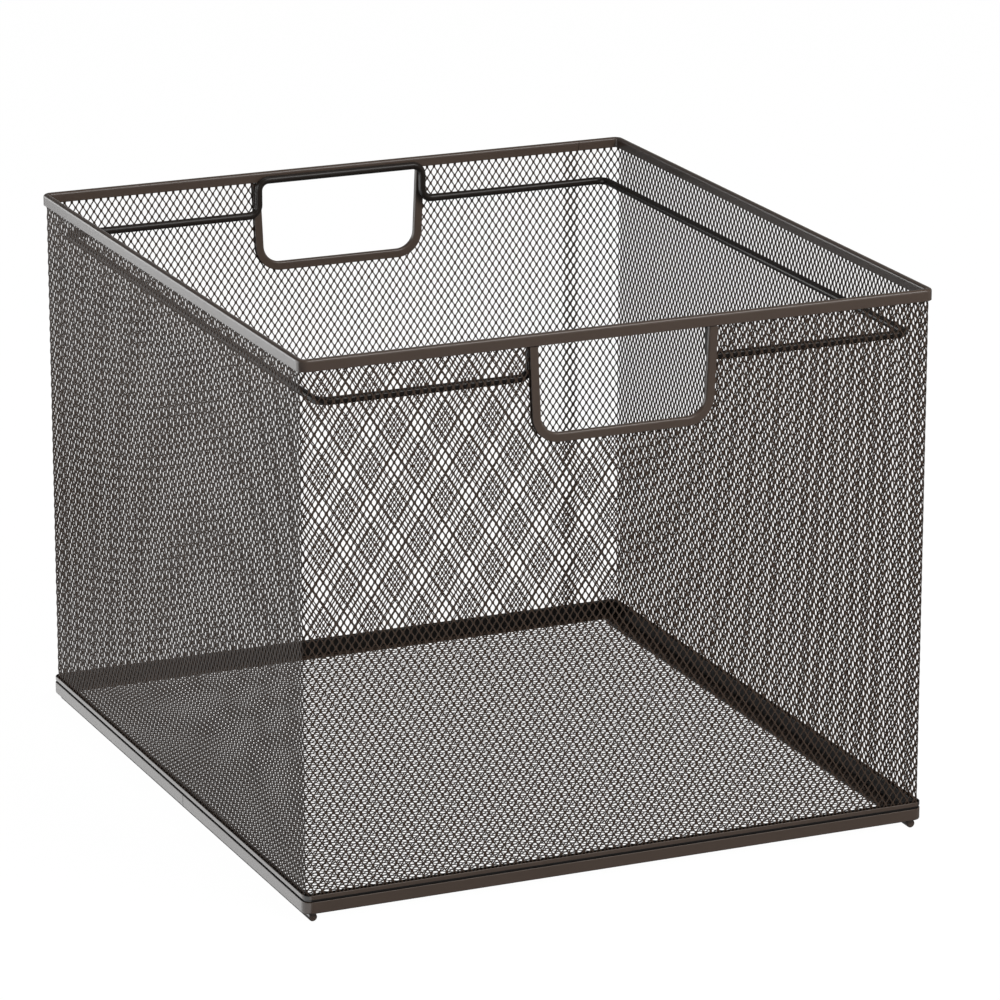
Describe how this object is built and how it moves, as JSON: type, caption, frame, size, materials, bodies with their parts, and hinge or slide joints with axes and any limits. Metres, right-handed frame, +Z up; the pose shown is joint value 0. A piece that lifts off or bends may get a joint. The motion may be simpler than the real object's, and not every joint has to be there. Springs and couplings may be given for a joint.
{
  "type": "mesh file crate",
  "caption": "Open-topped crate of expanded steel mesh with a folded rim, hand openings front and back, a wire rail inside for hanging folders and rods under its base.",
  "frame": {"origin": "centre of the footprint, on the surface that the crate stands on", "axes": "+Z up, +Y from front to back, +X to the right; the long sides run along Y, and the hand openings are in the front and back walls"},
  "size_m": [0.3302, 0.362, 0.2765],
  "materials": {
    "strip_paint": "satin dark bronze paint",
    "mesh_paint": "satin dark bronze paint",
    "wire_paint": "satin dark bronze paint"
  },
  "bodies": {
    "root": {"wall_mesh": "mesh_paint", "floor_mesh": "mesh_paint", "top_rim": "strip_paint", "base_hem": "strip_paint", "base_frame": "strip_paint", "handle_trim_front": "strip_paint", "handle_trim_back": "strip_paint", "file_rail": "wire_paint", "runner_left": "strip_paint", "runner_right": "strip_paint"}
  },
  "joints": []
}
